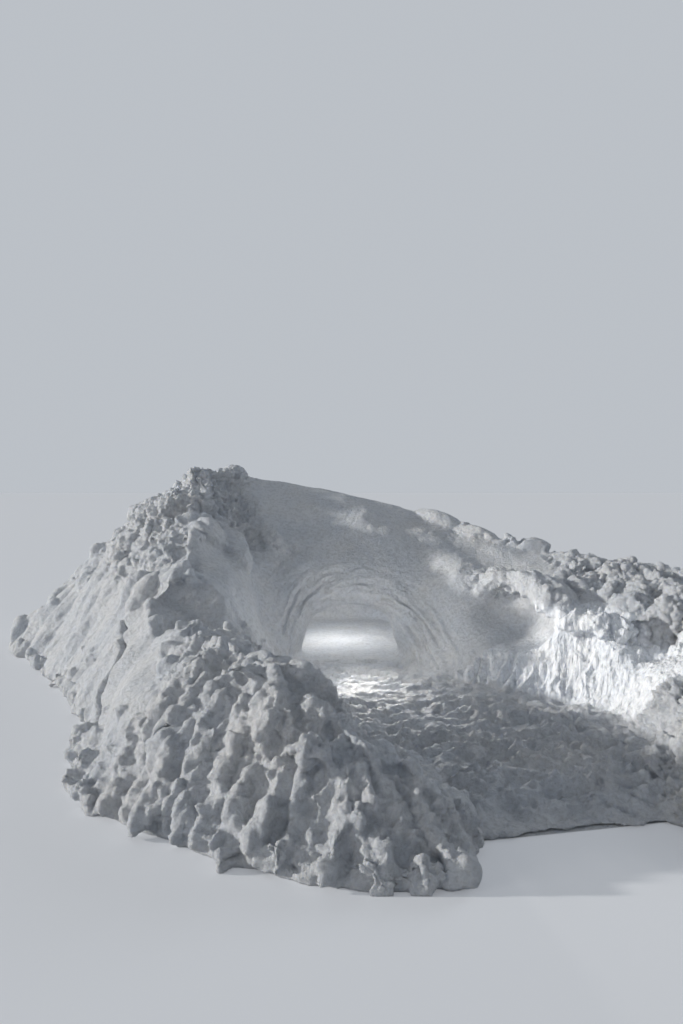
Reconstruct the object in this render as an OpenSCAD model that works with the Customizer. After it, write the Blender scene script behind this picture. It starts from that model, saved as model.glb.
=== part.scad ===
// Snow shelter hollowed out of a heaped drift, with a dug-out forecourt between two snow banks.
// Millimetres. The origin is on the ground at the middle of the doorway's foot, +Y runs into the
// shelter, +X to the right of someone facing the doorway, and +Z is up.

/* [Doorway] */
// Clear width at the chamber end of the doorway
door_w = 1040; // [800:20:1200]
// Height of the doorway over the floor, at the chamber end
door_h = 540; // [450:10:700]
// How far each side and the top of the doorway open out towards the forecourt
door_flare = 110; // [40:10:180]
// Thickness of the snow between the forecourt and the chamber, at floor level
door_wall = 420; // [300:10:600]

/* [Chamber] */
// Inside diameter of the chamber at floor level
chamber_d = 2200; // [2000:50:2400]
// Height of the vault over the chamber's floor
chamber_h = 950; // [850:10:1050]
// Fullness of the vault and the doorway's arch: 2 is an ellipse, more is squarer
arch_power = 2.4; // [2:0.1:3]

/* [Floor] */
// Thickness of the trodden snow underfoot
floor_t = 100; // [60:10:150]

/* [Mound] */
// Height of the mound's peak over the ground
peak_h = 2110; // [1900:10:2300]
// How far the peak lies to the left of the doorway's middle
peak_left = 1600; // [1300:20:1800]
// Height of the mound over the middle of the chamber
saddle_h = 1790; // [1650:10:1900]
// Reach of the mound's foot to the left of the doorway's middle
mound_left = 3800; // [3500:50:4200]
// Reach of the mound's foot to the right of the doorway's middle
mound_right = 3850; // [3500:50:4300]
// Reach of the mound's foot behind the chamber
mound_back = 1500; // [1200:50:2000]
// Roundness of the heap's crest: 1 is a sharp ridge, more is rounder
crest_round = 1.3; // [1:0.05:1.6]

/* [Forecourt] */
// Length of the forecourt, from the doorway to its open front
court_l = 3450; // [3000:50:4000]
// Clear width of the forecourt at its widest
court_w = 2700; // [2400:50:3000]
// Height of the steep cut face beside the doorway, over the floor
cut_h = 620; // [450:10:800]
// Rise over run of the steep cut face beside the doorway
cut_slope = 2.4; // [1.5:0.1:4]
// Rise over run of the scraped face above the doorway
face_slope = 0.82; // [0.6:0.02:1]
// Width of one bite of the shovel in the cut faces
bite_w = 260; // [200:10:350]
// Depth of one bite
bite_depth = 50; // [0:5:80]

/* [Left bank] */
// Height of the left bank's crest where it leaves the mound
left_root_h = 1180; // [1000:10:1400]
// Height of the left bank's crest at its middle
left_mid_h = 920; // [700:10:1100]
// Height of the left bank's crest at its tip
left_tip_h = 230; // [180:10:300]
// Width of the left bank's foot at its middle
left_bank_w = 1750; // [1500:50:2000]
// Rise over run of the banks' sides towards the forecourt
bank_slope = 1.4; // [1:0.1:2]
// Height over the floor up to which the left bank's side is that steep
bank_side_h = 450; // [300:10:600]
// Rise over run of the left bank's side above that
bank_top_slope = 0.6; // [0.4:0.05:0.9]
// Depth of the crack where the left bank has settled away from the mound
crack_depth = 120; // [0:10:160]
// Width of that crack at the surface
crack_w = 340; // [200:20:400]

/* [Right bank] */
// Height of the right bank's rim beside the cut wall
right_rim_h = 1100; // [900:10:1300]
// Height of the right bank's crest at its middle
right_mid_h = 660; // [500:10:900]
// Height of the right bank's crest at its tip
right_tip_h = 220; // [180:10:300]
// Width of the right bank's foot at its middle
right_bank_w = 1550; // [1300:50:1800]
// Rise over run of the right bank's cut wall
wall_slope = 3; // [2:0.1:4]
// Height of the right bank's cut wall over the floor
wall_h = 700; // [500:10:800]
// Rise over run of the plateau behind the right bank's cut wall
plateau_slope = 0.22; // [0.1:0.02:0.5]
// Depth of the scooped hollow in the right wall
scoop_depth = 360; // [0:10:400]
// Width of the scooped hollow
scoop_w = 1040; // [800:20:1200]
// Depth of the gully in front of the buttress
gully_depth = 240; // [0:10:300]
// Width of that gully at the surface
gully_w = 420; // [300:20:600]

/* [Snow surface] */
// Height of the blunt toe where a slope meets the ground
toe_h = 50; // [30:5:80]
// Width of the rounding between two slopes
blend = 140; // [60:10:200]
// Height of the long swells on the heap
swell = 38; // [0:2:60]
// Spacing of the clods that lie on the heap
clod_pitch = 340; // [280:10:500]
// Height of the clods
clod_h = 120; // [0:5:150]
// Size of the smallest clod as a share of the largest
clod_least = 0.5; // [0.3:0.05:0.9]
// Reach of the smooth snow round the mound's right shoulder, where no clods lie
smooth_reach = 1700; // [1200:50:2200]

/* [Hidden] */

snow = [0.93, 0.95, 0.98];
scraped_snow = [0.88, 0.91, 0.96];
trodden_snow = [0.82, 0.86, 0.92];

chamber_r = chamber_d / 2;
chamber_c = [0, door_wall + chamber_r];
crown_r = chamber_r * 0.5;
door_half = door_w / 2;
lip_half = door_half + door_flare;
door_angle = asin(door_half / chamber_r);
vault_turn = (360 - 2 * door_angle) / 5;

// Steps of the grid: across the doorway, along one sector of the vault, one span of a bank, one
// jamb, from the inner edge of the heap to its foot and to its crest, down the vault's haunch and
// over its crown, and along the hood. Across the heap they widen towards its foot. The hood's lip
// is found by halving, and points nearer than tiny count as one.
door_steps = 8;
sector_steps = 12;
left_steps = 10;
right_steps = 6;
jamb_steps = 3;
cross_steps = 18;
crest_step = 9;
haunch_steps = 5;
crown_steps = 2;
hood_steps = 5;
cross_power = 1.2;
lip_halvings = 14;
tiny = 0.01;

function lerp(a, b, f) = a + (b - a) * f;
function clamp(v) = min(1, max(0, v));
function flat(rows) = [for (r = rows) for (p = r) p];
function smooth_min(a, b, w) = min(a, b) - pow(max(w - abs(a - b), 0), 2) / (4 * w);

// One span of a Catmull-Rom curve, from its second to its third control point.
function curve(a, b, c, d, f) =
    0.5 * (2 * b + (c - a) * f + (2 * a - 5 * b + 4 * c - d) * f * f
        + (3 * b - a - 3 * c + d) * f * f * f);
function curve_at(keys, i, f) =
    curve(keys[max(i - 1, 0)], keys[i], keys[i + 1], keys[min(i + 2, len(keys) - 1)], f);
function curve_span(keys, i, steps) = [for (q = [0:steps]) curve_at(keys, i, q / steps)];

// How a face is cut: its rise over run at the foot, the height over the floor up to which it is
// that steep, and its rise over run above that. It is cut more gently at the banks' tips.
door_cut = [cut_slope, cut_h, face_slope];
bank_cut = [bank_slope, bank_side_h, bank_top_slope];
wall_cut = [wall_slope, wall_h, plateau_slope];
tip_share = 0.8;
tip_cut = tip_share * bank_cut;
function foot(x, y, cut) = concat([x, y], cut);

// Plan of the forecourt's foot, on its left side and on its right.
left_foot = [
    foot(court_w * 0.23, -court_l, tip_cut),
    foot(court_w * 0.14, -court_l * 0.87, lerp(tip_cut, bank_cut, 0.5)),
    foot(court_w * 0.01, -court_l * 0.7, bank_cut),
    foot(-court_w * 0.13, -court_l * 0.51, bank_cut),
    foot(-court_w * 0.215, -court_l * 0.29, lerp(bank_cut, door_cut, 0.3)),
    foot(-lip_half * 0.97, -court_l * 0.1, lerp(bank_cut, door_cut, 0.8)),
    foot(-lip_half, 0, door_cut)
];
right_foot = [
    foot(lip_half, 0, door_cut),
    foot(court_w * 0.35, -court_l * 0.13, door_cut),
    foot(court_w * 0.52, -court_l * 0.27, wall_cut),
    foot(court_w * 0.69, -court_l * 0.38, wall_cut),
    foot(court_w * 0.76, -court_l * 0.52, lerp(wall_cut, tip_cut, 0.45)),
    foot(court_w * 0.69, -court_l * 0.74, tip_cut),
    foot(court_w * 0.655, -court_l * 0.93, tip_cut)
];

// Plan of the outer foot, with one point for each station of the inner edge.
left_out = [
    [court_w * 0.235, -court_l * 1.05],
    [court_w * 0.13, -court_l * 1.15],
    [-left_bank_w * 0.14, -court_l * 1.13],
    [-left_bank_w * 0.56, -court_l * 1.01],
    [-left_bank_w * 0.96, -court_l * 0.83],
    [-left_bank_w * 1.12, -court_l * 0.53],
    [-mound_left * 0.65, -court_l * 0.22]
];
back_y = chamber_c.y + chamber_r + mound_back;
back_out = [
    [-mound_left * 0.83, back_y * 0.09],
    [-mound_left, back_y * 0.42],
    [-mound_left * 0.58, back_y * 0.9],
    [mound_right * 0.42, back_y * 0.95],
    [mound_right * 0.92, back_y * 0.5],
    [mound_right, back_y * 0.08]
];
right_edge = right_foot[4].x + right_bank_w;
right_out = [
    [lerp(mound_right, right_edge, 0.3), -court_l * 0.14],
    [right_edge * 1.04, -court_l * 0.33],
    [right_edge * 1.03, -court_l * 0.52],
    [right_edge, -court_l * 0.7],
    [right_edge * 0.93, -court_l * 0.87],
    [right_edge * 0.78, -court_l * 1.02],
    [court_w * 0.68, -court_l * 0.98]
];
outer_keys = concat(left_out, back_out, right_out);

// Crest of the heap, with its height, from the left tip over the peak to the right tip.
crest_keys = [
    [court_w * 0.2, -court_l * 1.03, left_tip_h],
    [court_w * 0.09, -court_l * 1.02, lerp(left_tip_h, left_mid_h, 0.34)],
    [-court_w * 0.09, -court_l * 0.93, lerp(left_tip_h, left_mid_h, 0.66)],
    [-court_w * 0.23, -court_l * 0.8, lerp(left_tip_h, left_mid_h, 0.9)],
    [-court_w * 0.38, -court_l * 0.63, left_mid_h],
    [-court_w * 0.5, -court_l * 0.38, lerp(left_mid_h, left_root_h, 0.4)],
    [-peak_left * 0.94, -court_l * 0.1, left_root_h],
    [-peak_left, chamber_c.y * 0.4, lerp(left_root_h, peak_h, 0.5)],
    [-peak_left, chamber_c.y * 0.92, peak_h],
    [-peak_left * 0.5, chamber_c.y * 1.03, lerp(peak_h, saddle_h, 0.45)],
    [0, chamber_c.y, saddle_h],
    [mound_right * 0.22, chamber_c.y * 0.9, lerp(saddle_h, right_rim_h, 0.4)],
    [mound_right * 0.42, chamber_c.y * 0.62, lerp(saddle_h, right_rim_h, 0.75)],
    [mound_right * 0.58, chamber_c.y * 0.22, right_rim_h * 1.03],
    [mound_right * 0.7, -court_l * 0.08, right_rim_h],
    [right_edge * 0.79, -court_l * 0.29, lerp(right_rim_h, right_mid_h, 0.4)],
    [right_edge * 0.75, -court_l * 0.53, right_mid_h],
    [right_edge * 0.64, -court_l * 0.79, lerp(right_mid_h, right_tip_h, 0.55)],
    [court_w * 0.71, -court_l * 0.94, right_tip_h]
];
crest_path = flat([for (i = [0:len(crest_keys) - 2]) curve_span(crest_keys, i, 2)]);

// The stations' inner ends. Spans 0 to 5 follow the left foot, 6 the left jamb, 7 to 11 the
// chamber, 12 the right jamb and 13 to 18 the right foot.
function on_chamber(angle) = chamber_c + chamber_r * [cos(angle), sin(angle)];
function sector_angle(k) = 270 - door_angle - k * vault_turn;
function inner_span(s) =
    s < 6 ? curve_span(left_foot, s, left_steps)
    : s == 6 ? [for (q = [0:jamb_steps])
        lerp([-lip_half, 0], on_chamber(sector_angle(0)), q / jamb_steps)]
    : s < 12 ? [for (q = [0:sector_steps]) on_chamber(sector_angle(s - 7 + q / sector_steps))]
    : s == 12 ? [for (q = [0:jamb_steps])
        lerp(on_chamber(sector_angle(5)), [lip_half, 0], q / jamb_steps)]
    : curve_span(right_foot, s - 13, right_steps);
function span_steps(s) = len(inner_spans[s]) - 1;
inner_spans = [for (s = [0:18]) inner_span(s)];
outer_spans = [for (s = [0:18]) curve_span(outer_keys, s, span_steps(s))];

// A path in plan whose points also hold the way run along it so far.
function flat_length(a, b) = norm([b.x - a.x, b.y - a.y]);
function with_length(path) =
    [for (i = 0, way = 0; i < len(path);
        way = way + (i + 1 < len(path) ? flat_length(path[i], path[i + 1]) : 0), i = i + 1)
        concat(path[i], way)];
court_path = with_length(concat(flat([for (s = [0:5]) inner_spans[s]]),
    flat([for (s = [13:18]) inner_spans[s]])));
outer_path = concat([inner_spans[0][0]], flat(outer_spans), [inner_spans[18][right_steps]]);

// Nearest point of a path in plan, as [distance, the path's values there].
function nearest(p, path) =
    let (
        hits = [for (i = [0:len(path) - 2])
            let (
                a = path[i],
                b = path[i + 1],
                run = [b.x - a.x, b.y - a.y],
                f = run * run > 0 ? clamp(([p.x - a.x, p.y - a.y] * run) / (run * run)) : 0,
                q = a + (b - a) * f
            )
            [norm([p.x - q.x, p.y - q.y]), q]],
        d = min([for (h = hits) h[0]]),
        at = [for (h = hits) if (h[0] <= d) h]
    )
    at[0];

// Long swells of the snow's surface, between -1 and 1. Each wave has its share, its turn in
// degrees for each millimetre along x and along y, and its angle at the origin.
swell_waves = [[0.5, 0.31, 0.37, 50], [0.3, 0.62, 0.35, 0], [0.2, -0.5, 0.83, 70]];
function swells(p) =
    [for (w = swell_waves) w[0] * sin(p.x * w[1] + p.y * w[2] + w[3])] * [1, 1, 1];

// The hollow that was scooped out of the right wall, as a depth.
scoop_at = [court_w * 0.49, -court_l * 0.1];
function scoop(p) =
    let (d = norm([p.x - scoop_at.x, p.y - scoop_at.y]) / (scoop_w / 2))
    d < 1 ? scoop_depth * pow(1 - d * d, 2) : 0;

// The crack runs up from the outer foot where the left bank leaves the mound, along a station.
crack_line = [outer_keys[5], lerp([left_foot[5].x, left_foot[5].y], outer_keys[5], 0.42)];
function trench(p, line, width) = max(0, 1 - nearest(p, line)[0] / (width / 2));
function crack(p) = crack_depth * trench(p, crack_line, crack_w);

// The gully parts the buttress from the front of the right bank.
gully_line = [[court_w * 0.78, -court_l * 0.44], [right_edge * 0.84, -court_l * 0.35]];
function gully(p) = gully_depth * trench(p, gully_line, gully_w);

// Clods, one in each square of a grid, moved and sized at random: the highest that covers a point.
clod_seed = [71, 193];
clod_reach = 0.72;
function clod(p, square) =
    let (
        chance = rands(0, 1, 3, square * clod_seed),
        size = lerp(clod_least, 1, chance[2]),
        middle = (square + [chance[0], chance[1]]) * clod_pitch,
        away = norm(p - middle) / (clod_pitch * clod_reach * size)
    )
    away < 1 ? size * (1 - away * away) : 0;
function clods(p) =
    let (square = [floor(p.x / clod_pitch), floor(p.y / clod_pitch)])
    max([for (i = [-1:1], j = [-1:1]) clod(p, square + [i, j])]);

// Scallops that the shovel left in the cut faces, as a depth in plan.
function bites(way, away) =
    bite_depth * pow(cos(180 * way / bite_w), 2) * clamp(away / bite_w);

// Height of the snow: the heap, which rises from its outer foot to its crest, less what the
// forecourt's cut face takes off it. Clods lie where the heap is left as it was thrown: they start
// behind the edge of the cut and grow sparse on the smooth shoulder. All relief fades at the edges.
smooth_at = [mound_right * 0.16, chamber_c.y * 0.75];
smooth_clods = 0.1;
smooth_fade = 500;
clod_start = 250;
clod_fade = 300;
edge_fade = 400;
function snow_z(p) =
    let (
        crest = nearest(p, crest_path),
        court = nearest(p, court_path),
        foot = nearest(p, outer_path),
        share = foot[0] / max(foot[0] + crest[0], 1),
        heap = lerp(crest[1].z, toe_h, pow(1 - share, crest_round)),
        away = max(0, court[0] - bites(court[1][5], court[0])),
        cut = floor_t + smooth_min(court[1][2] * away, court[1][3] + court[1][4] * away, blend),
        fade = clamp(min(court[0], foot[0]) / edge_fade),
        shoulder = clamp((norm(p - smooth_at) - smooth_reach) / smooth_fade + smooth_clods),
        rough = clamp((court[0] - clod_start) / clod_fade) * shoulder,
        relief = swell * swells(p) + clod_h * rough * clods(p)
    )
    smooth_min(heap, cut, blend) + fade * (relief - scoop(p) - crack(p) - gully(p));
function on_snow(p) = [p.x, p.y, snow_z(p)];

// A closed solid between two grids of points with the same rows and columns. A closed ring has no
// side walls at its first and last column. Faces that have shrunk to a line are left out.
function apart(a, b) = norm(a - b) > tiny;
function full(points, face) =
    apart(points[face[0]], points[face[1]]) && apart(points[face[1]], points[face[2]])
    && apart(points[face[2]], points[face[0]]);
function quad(a, b, c, d) = [[a, b, c], [a, c, d]];
// Triangles over a grid of snow points, each square split along its more level diagonal.
function drape(points, a, b, c, d) =
    abs(points[a].z - points[c].z) < abs(points[b].z - points[d].z)
        ? quad(a, b, c, d) : quad(b, c, d, a);
function draped(points, rows, cols) =
    [for (i = [0:rows - 2], j = [0:cols - 2])
        let (a = i * cols + j, d = a + cols) each drape(points, a, a + 1, d + 1, d)];
module between(top, base, ring = false) {
    rows = len(top);
    cols = len(top[0]);
    size = rows * cols;
    points = concat(flat(top), flat(base));
    faces = concat(
        draped(points, rows, cols),
        [for (i = [0:rows - 2], j = [0:cols - 2])
            let (a = size + i * cols + j, d = a + cols) each quad(a, d, d + 1, a + 1)],
        [for (j = [0:cols - 2])
            each concat(quad(j, size + j, size + j + 1, j + 1),
                let (r = (rows - 1) * cols) quad(r + j + 1, size + r + j + 1, size + r + j, r + j))],
        ring ? [] : [for (i = [0:rows - 2])
            each concat(
                let (a = i * cols, b = a + cols) quad(b, size + b, size + a, a),
                let (a = i * cols + cols - 1, b = a + cols) quad(a, size + a, size + b, b))]
    );
    polyhedron(points, [for (f = faces) if (full(points, f)) f]);
}

// A closed solid from a grid of snow points straight down to the ground. Its foot is split
// between the grid's first and last columns, with a fan at each end.
module standing(top) {
    rows = len(top);
    cols = len(top[0]);
    size = rows * cols;
    border = concat([for (j = [0:cols - 1]) j], [for (i = [1:rows - 1]) i * cols + cols - 1],
        [for (j = [cols - 2:-1:0]) (rows - 1) * cols + j], [for (i = [rows - 2:-1:1]) i * cols]);
    around = len(border);
    points = flat(top);
    near = [for (i = [0:rows - 1]) size + (around - i) % around];
    far = [for (i = [0:rows - 1]) size + cols - 1 + i];
    end = size + cols - 1 + rows - 1;
    faces = concat(
        draped(points, rows, cols),
        [for (k = [0:around - 1])
            each quad(border[k], size + k, size + (k + 1) % around, border[(k + 1) % around])],
        [for (j = [0:cols - 2]) [size + j, near[1], size + j + 1]],
        [for (i = [1:rows - 2]) each [[far[i - 1], near[i], far[i]], [near[i], near[i + 1], far[i]]]],
        [for (j = [0:cols - 2]) [far[rows - 2], end + j + 1, end + j]]
    );
    polyhedron(concat(points, [for (k = border) [points[k].x, points[k].y, 0]]), faces);
}

// One cell of the heap, between two station spans and between two steps across.
function across(k) = pow(k / cross_steps, cross_power);
module heap_cell(s0, s1, k0, k1) {
    stations = [for (s = [s0:s1], q = [(s == s0 ? 0 : 1):span_steps(s)])
        let (foot = inner_spans[s][q]) [[foot.x, foot.y], outer_spans[s][q]]];
    color(snow)
        standing([for (ends = stations) [for (k = [k0:k1])
            on_snow(lerp(ends[0], ends[1], across(k)))]]);
}
module whole_cell(s0, s1) { heap_cell(s0, s1, 0, cross_steps); }
module inner_cell(s0, s1, step = crest_step) { heap_cell(s0, s1, 0, step); }
module outer_cell(s0, s1, step = crest_step) { heap_cell(s0, s1, step, cross_steps); }
module left_bank_tip() { whole_cell(0, 0); }
module left_bank_nose() { whole_cell(1, 1); }
module left_bank_front_crest() { inner_cell(2, 2); }
module left_bank_front_face() { outer_cell(2, 2); }
module left_bank_middle_crest() { inner_cell(3, 3); }
module left_bank_middle_face() { outer_cell(3, 3); }
module left_bank_rear_crest() { inner_cell(4, 4); }
module left_bank_rear_face() { outer_cell(4, 4); }
module front_wall_left() { inner_cell(5, 6); }
module left_flank_front() { outer_cell(5, 6); }
module peak() { inner_cell(7, 7); }
module left_flank() { outer_cell(7, 7); }
module back_left_flank() { whole_cell(8, 8); }
module back_flank() { whole_cell(9, 9); }
module back_right_flank() { whole_cell(10, 10); }
module right_shoulder() { inner_cell(11, 11); }
module right_flank() { outer_cell(11, 11); }
module front_wall_right() { inner_cell(12, 13); }
module right_rim() { outer_cell(12, 13); }
module scooped_wall() { inner_cell(14, 14); }
module right_bank_rear() { outer_cell(14, 14); }
module buttress() { inner_cell(15, 15); }
module right_bank_middle() { outer_cell(15, 15); }
module cut_wall() { inner_cell(16, 16); }
module right_bank_shoulder() { outer_cell(16, 16); }
module right_bank_front() { whole_cell(17, 17); }
module right_bank_tip() { whole_cell(18, 18); }

// The vault's underside: a dome down to the floor, opened by the doorway's arch at the front.
function arch(u) = pow(max(1 - pow(min(abs(u), 1), arch_power), 0), 1 / arch_power);
function vault_z(p) =
    let (
        r = norm(p - chamber_c) / chamber_r,
        dome = chamber_h * arch(r),
        passage = p.y < chamber_c.y ? door_h * arch(p.x / door_half) : 0
    )
    floor_t + (abs(p.x) < door_half ? max(dome, passage) : dome);

function haunch_r(i) = lerp(crown_r, chamber_r, sin(90 * i / haunch_steps));
function sector_turns(k) =
    k < 5 ? [for (q = [0:sector_steps]) sector_angle(k + q / sector_steps)]
    : [for (q = [0:door_steps]) asin(lerp(door_half, -door_half, q / door_steps) / chamber_r) - 90];
function vault_grid(turns, radii) =
    [for (r = radii) [for (a = turns) chamber_c + r * [cos(a), sin(a)]]];
module vault_part(turns, radii, ring = false) {
    plan = vault_grid(turns, radii);
    color(scraped_snow)
        between([for (row = plan) [for (p = row) on_snow(p)]],
            [for (row = plan) [for (p = row) [p.x, p.y, vault_z(p)]]], ring);
}
module vault_sector(k) {
    vault_part(sector_turns(k), [for (i = [haunch_steps:-1:0]) haunch_r(i)]);
}
module vault_left() { vault_sector(0); }
module vault_back_left() { vault_sector(1); }
module vault_back() { vault_sector(2); }
module vault_back_right() { vault_sector(3); }
module vault_right() { vault_sector(4); }
module vault_front() { vault_sector(5); }
function but_last(list) = [for (i = [0:len(list) - 2]) list[i]];
function but_first(list) = [for (i = [1:len(list) - 1]) list[i]];
all_turns = concat([for (k = [0:5]) each but_last(sector_turns(k))], [sector_angle(0) - 360]);
module vault_crown() {
    vault_part(all_turns, [for (i = [crown_steps:-1:0]) crown_r * i / crown_steps], true);
}

// The snow over the doorway, from the chamber out to the lip where the cut face meets the arch.
function lip_y(x, z, low, high, turns) =
    let (mid = (low + high) / 2)
    turns == 0 ? mid
    : snow_z([x, mid]) < z ? lip_y(x, z, mid, high, turns - 1) : lip_y(x, z, low, mid, turns - 1);
module entrance_hood() {
    turns = sector_turns(5);
    shares = [for (a = turns) cos(a) * chamber_r / door_half];
    rises = [for (u = shares) arch(u)];
    lip = [for (j = [0:door_steps])
        let (x = shares[j] * lip_half, z = floor_t + (door_h + door_flare) * rises[j])
        [x, j % door_steps == 0 ? 0 : lip_y(x, z, 0, door_wall, lip_halvings)]];
    plan = [for (i = [0:hood_steps]) [for (j = [0:door_steps])
        lerp(lip[j], on_chamber(turns[j]), i / hood_steps)]];
    top = [for (row = plan) [for (p = row) on_snow(p)]];
    base = [for (i = [0:hood_steps]) [for (j = [0:door_steps])
        let (arch_z = floor_t + (door_h + door_flare * (1 - i / hood_steps)) * rises[j])
        i == 0 ? top[i][j] : [plan[i][j].x, plan[i][j].y, arch_z]]];
    color(scraped_snow) between(top, base);
}

// Trodden floor, in the chamber, through the doorway and over the forecourt.
module floor_slab(outline) {
    color(trodden_snow) linear_extrude(floor_t) polygon([for (p = outline) [p.x, p.y]]);
}
module chamber_floor() {
    floor_slab([for (a = but_first(all_turns)) on_chamber(a)]);
}
module threshold_floor() {
    floor_slab(concat([for (a = sector_turns(5)) on_chamber(a)], [[-lip_half, 0], [lip_half, 0]]));
}
module court_floor(left_spans, right_spans) {
    floor_slab(concat(flat([for (s = left_spans) inner_spans[s]]),
        flat([for (s = right_spans) inner_spans[s]])));
}

module court_floor_rear() { court_floor([4, 5], [13, 14, 15]); }
module court_floor_middle() { court_floor([1, 2, 3], [16, 17]); }
module court_floor_front() {
    right_side = [for (i = [left_steps:-1:0]) curve_at(right_foot, len(right_foot) - 2, i / left_steps)];
    sides = [inner_spans[0], right_side];
    color(trodden_snow)
        between([for (side = sides) [for (i = [0:left_steps])
                [side[i].x, side[i].y, lerp(toe_h, floor_t, i / left_steps)]]],
            [for (side = sides) [for (p = side) [p.x, p.y, 0]]]);
}

peak();
left_flank();
back_left_flank();
back_flank();
back_right_flank();
right_shoulder();
right_flank();
front_wall_left();
left_flank_front();
front_wall_right();
right_rim();
vault_crown();
vault_left();
vault_back_left();
vault_back();
vault_back_right();
vault_right();
vault_front();
entrance_hood();
left_bank_rear_crest();
left_bank_rear_face();
left_bank_middle_crest();
left_bank_middle_face();
left_bank_front_crest();
left_bank_front_face();
left_bank_nose();
left_bank_tip();
scooped_wall();
right_bank_rear();
cut_wall();
right_bank_middle();
buttress();
right_bank_shoulder();
right_bank_front();
right_bank_tip();
chamber_floor();
threshold_floor();
court_floor_rear();
court_floor_middle();
court_floor_front();
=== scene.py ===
import math
from collections import Counter
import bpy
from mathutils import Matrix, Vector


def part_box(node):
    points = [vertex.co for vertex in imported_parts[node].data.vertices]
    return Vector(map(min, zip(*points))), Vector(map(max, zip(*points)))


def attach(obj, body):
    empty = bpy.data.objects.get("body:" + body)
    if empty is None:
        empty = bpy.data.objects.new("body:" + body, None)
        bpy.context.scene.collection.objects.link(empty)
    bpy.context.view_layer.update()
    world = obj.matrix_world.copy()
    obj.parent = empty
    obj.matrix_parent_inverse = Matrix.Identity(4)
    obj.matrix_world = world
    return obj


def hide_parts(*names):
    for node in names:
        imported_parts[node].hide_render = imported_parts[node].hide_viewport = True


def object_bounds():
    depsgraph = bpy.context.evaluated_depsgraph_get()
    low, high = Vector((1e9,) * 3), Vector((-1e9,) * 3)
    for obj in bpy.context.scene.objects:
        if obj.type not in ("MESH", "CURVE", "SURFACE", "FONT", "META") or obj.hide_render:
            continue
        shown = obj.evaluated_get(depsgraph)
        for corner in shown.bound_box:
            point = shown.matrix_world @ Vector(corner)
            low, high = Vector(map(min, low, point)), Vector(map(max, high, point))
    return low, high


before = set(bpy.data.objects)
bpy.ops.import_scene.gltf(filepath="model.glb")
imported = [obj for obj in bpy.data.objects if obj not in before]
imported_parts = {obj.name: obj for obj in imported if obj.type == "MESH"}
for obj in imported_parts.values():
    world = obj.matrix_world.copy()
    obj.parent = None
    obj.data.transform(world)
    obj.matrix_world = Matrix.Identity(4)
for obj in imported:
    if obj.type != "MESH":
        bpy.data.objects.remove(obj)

from concurrent.futures import ThreadPoolExecutor
from functools import partial
from itertools import product

import bpy
import numpy as np
from mathutils import Matrix, Vector
from mathutils.bvhtree import BVHTree

SEED = 5
NODES = sorted(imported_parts)
CAD_LOW, CAD_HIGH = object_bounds()
_, THRESHOLD_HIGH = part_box("threshold_floor")
FLOOR_Z = THRESHOLD_HIGH.z
DOOR_HALF = THRESHOLD_HIGH.x
CHAMBER_LOW, CHAMBER_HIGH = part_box("chamber_floor")
CHAMBER = (CHAMBER_LOW + CHAMBER_HIGH) / 2

# The grids that carry the shape, in metres, and the passes that round it
COARSE_VOXEL = 0.030
FINE_VOXEL = 0.0162
PLAN_STEP = 0.025
PLAN_MARGIN = 0.1
FACET_PASSES = 24
EVEN_PASSES = 30

# Places on the plan: the middle and the width in x, then in y
FACE = (0.55, 1.0, 1.0, 1.0)
SLAB = (-1.60, 0.30, -1.95, 0.85)
SLAB_SLANT = 0.2
SLAB_PIVOT = -1.75
SHELF = (-1.30, 0.40, -1.00, 0.36)
HOLLOW_EDGE = (1.25, 0.45, -0.35, 0.5)
PEAK_RIDGE = (-1.75, 0.75, 0.9, 1.5)
PEAK_BAND = (-1.75, 0.85, 0.9, 1.3)
PLAIN_FLANK = (-2.6, 1.0, 0.1, 1.5)

# Paths in plan: the scraped wall's foot, the forecourt's mouth, the slab's crack, the crest on the face
WALL = [(0.62, -0.02), (0.86, -0.28), (1.06, -0.47), (1.24, -0.66), (1.42, -0.84), (1.64, -1.02),
        (1.86, -1.20), (2.03, -1.45), (2.05, -1.80), (1.95, -2.20), (1.84, -2.70), (1.77, -3.25)]
MOUTH = [(0.40, -3.49), (1.90, -3.18)]
CRACK = [(-1.98, -0.60), (-1.88, -1.15), (-1.86, -1.25), (-1.88, -1.40), (-1.91, -1.61), (-1.91, -1.75),
         (-1.80, -2.20)]
CREST = [(0.90, 1.28), (1.22, 1.10), (1.41, 0.96), (1.62, 0.90), (1.98, 0.67)]
# Paths in space: the lip over the hollow, and the head of the buttress beside it
LIP = [(1.28, 0.04, 0.88), (1.44, -0.10, 0.95), (1.60, -0.28, 0.97), (1.76, -0.52, 0.92), (1.88, -0.90, 0.74)]
BUTTRESS_HEAD = [(1.86, -1.00, 0.72), (2.02, -1.14, 0.76), (2.20, -1.26, 0.74)]

# The big round clod on the left bank's nose
BIG_CLOD = (-0.24, -3.50, 0.53)

# Ellipsoids that the snow is pushed out of: the middle, the radii and the way out
HOLLOW = ((1.40, -0.58, 0.70), (0.44, 0.52, 0.28), (0.55, 0.80, -0.12))
SHELF_CUT = ((-1.30, -1.22, 0.98), (0.50, 0.40, 0.25), (0.0, 0.75, -0.66))

# More than any distance that is measured here
FAR = 9.0

# Height under which a point lies on the ground, and how far the underside is lifted and tucked in
GROUND = 0.004
BASE_LIFT = 0.001
BASE_TUCK = 0.075

# How far the heap is lowered before clods are laid on it, in metres
NOSE_CREST_DROP = 0.13
PEAK_DROP = 0.07
BANK_DROP = 0.04

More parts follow.
